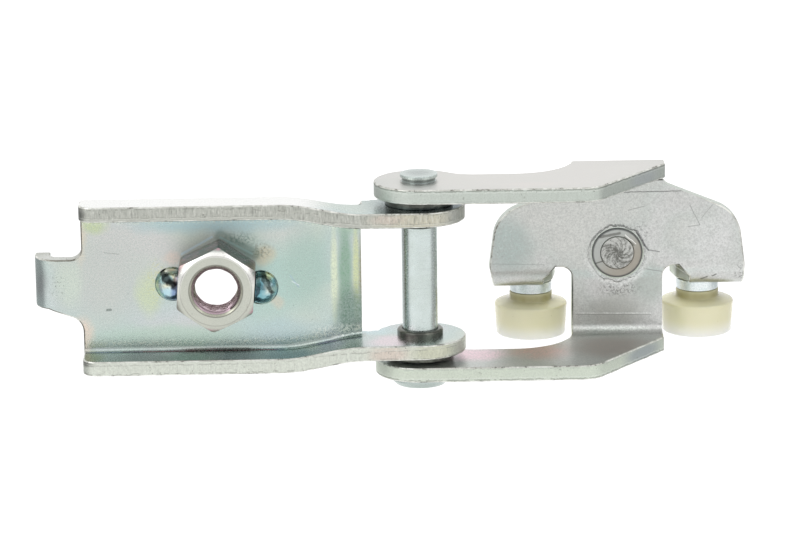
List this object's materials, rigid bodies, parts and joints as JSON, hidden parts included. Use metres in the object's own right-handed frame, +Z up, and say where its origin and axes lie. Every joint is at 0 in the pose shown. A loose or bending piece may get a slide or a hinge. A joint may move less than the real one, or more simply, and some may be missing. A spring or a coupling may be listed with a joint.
{
  "type": "sliding door roller guide",
  "caption": "Sheet-steel door bracket with a welded nut, hinged by an upright pin to a carriage with two nylon guide rollers and a load roller.",
  "frame": {"origin": "centre of the weld nut's seat on the front face of the door bracket's web", "axes": "+Z up along the hinge pin; +X from the door bracket to the carriage; +Y is the way the bolt leaves the nut, towards the door's arm and the rail"},
  "size_m": [0.1519, 0.0439, 0.0456],
  "materials": {
    "zinc_plated_bracket": "clear zinc plated, faintly iridescent",
    "zinc_plated_carriage": "zinc plated, satin, lightly scratched",
    "nut_steel": "zinc plated",
    "weld_metal": "glossy weld bead, plated over",
    "dark_bush": "dark, satin",
    "bright_pin": "bright zinc",
    "staked_axle": "staked, matt",
    "bearing_steel": "ground",
    "cage_brass": "pressed",
    "cream_nylon": "moulded, slightly translucent"
  },
  "bodies": {
    "door_bracket": {"door_bracket": "zinc_plated_bracket", "weld_nut": "nut_steel", "left_weld_tack": "weld_metal", "right_weld_tack": "weld_metal", "upper_bush": "dark_bush", "lower_bush": "dark_bush"},
    "carriage": {"carriage_frame": "zinc_plated_carriage", "hinge_pin": "bright_pin", "left_roller_pin": "bright_pin", "right_roller_pin": "bright_pin", "left_retaining_washer": "bright_pin", "right_retaining_washer": "bright_pin", "load_roller_axle": "staked_axle", "spacer_washer": "bright_pin", "bearing_inner_ring": "bearing_steel"},
    "left_guide_roller": {"left_guide_roller": "cream_nylon"},
    "right_guide_roller": {"right_guide_roller": "cream_nylon"},
    "load_roller": {"bearing_outer_ring": "bearing_steel", "load_roller_tyre": "cream_nylon", "front_bearing_shield": "bearing_steel", "rear_bearing_shield": "bearing_steel"},
    "ball_cage": {"bearing_balls": "bearing_steel", "bearing_cage": "cage_brass"}
  },
  "joints": [
    {"name": "carriage_hinge", "type": "hinge", "parent": "door_bracket", "child": "carriage", "pos_m": [0.0428, 0.0016, 0], "axis": [0, 0, 1], "range_deg": [-132, 115]},
    {"name": "left_guide_spin", "type": "hinge", "parent": "carriage", "child": "left_guide_roller", "pos_m": [0.0677, 0.0276, -0.015], "axis": [0, 0, 1], "continuous": true},
    {"name": "right_guide_spin", "type": "hinge", "parent": "carriage", "child": "right_guide_roller", "pos_m": [0.1041, 0.0276, -0.015], "axis": [0, 0, 1], "continuous": true},
    {"name": "load_roller_spin", "type": "hinge", "parent": "carriage", "child": "load_roller", "pos_m": [0.0859, 0.0262, 0], "axis": [0, 1, 0], "continuous": true},
    {"name": "ball_cage_spin", "type": "hinge", "parent": "carriage", "child": "ball_cage", "pos_m": [0.0859, 0.0262, 0], "axis": [0, 1, 0], "continuous": true}
  ],
  "couplings": [
    {"joint": "ball_cage_spin", "follows": "load_roller_spin", "ratio": 0.5785}
  ]
}
